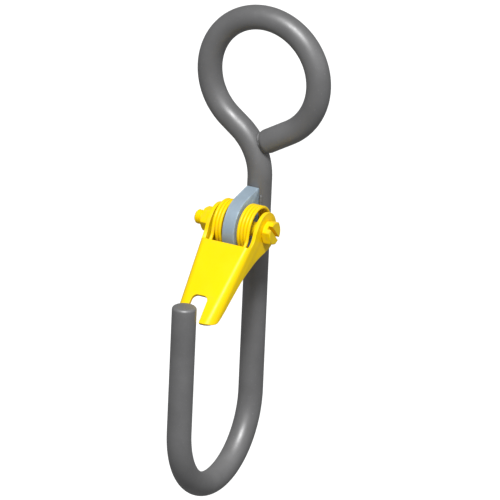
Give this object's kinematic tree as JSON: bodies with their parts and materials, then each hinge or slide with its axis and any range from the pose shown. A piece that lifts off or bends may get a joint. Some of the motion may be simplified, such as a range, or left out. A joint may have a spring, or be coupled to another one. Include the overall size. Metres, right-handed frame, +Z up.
{
  "type": "beam clamp hook",
  "caption": "Round-bar lifting hook with a closed eye at the top and a sprung, forked safety latch bolted to a lug on the shank.",
  "frame": {"origin": "centre of the eye, where the part hangs", "axes": "+Z up the shank, +X from the shank to the hook's tip, +Y along the latch's bolt to its head"},
  "size_m": [0.14, 0.119, 0.3977],
  "materials": {
    "bar": "dark grey, satin",
    "weld": "dark grey, satin, over weld ripples",
    "lug": "blue-grey, satin",
    "hardware": "bright yellow, semi-gloss",
    "spring": "bright yellow, semi-gloss",
    "latch": "bright yellow, satin powder coat"
  },
  "bodies": {
    "hook": {"hook_bar": "bar", "eye_weld": "weld", "latch_lug": "lug", "lug_weld_left": "weld", "lug_weld_right": "weld", "pivot_bolt": "hardware", "pivot_nut": "hardware", "torsion_spring": "spring"},
    "latch": {"latch": "latch"}
  },
  "joints": [
    {"name": "latch_swing", "type": "hinge", "parent": "hook", "child": "latch", "pos_m": [0.0319, 0, -0.1177], "axis": [0, 1, 0], "range_deg": [0, 55], "stiffness_Nm_per_rad": 3.1, "springref_deg": -14.32, "deforming": ["torsion_spring"]}
  ]
}
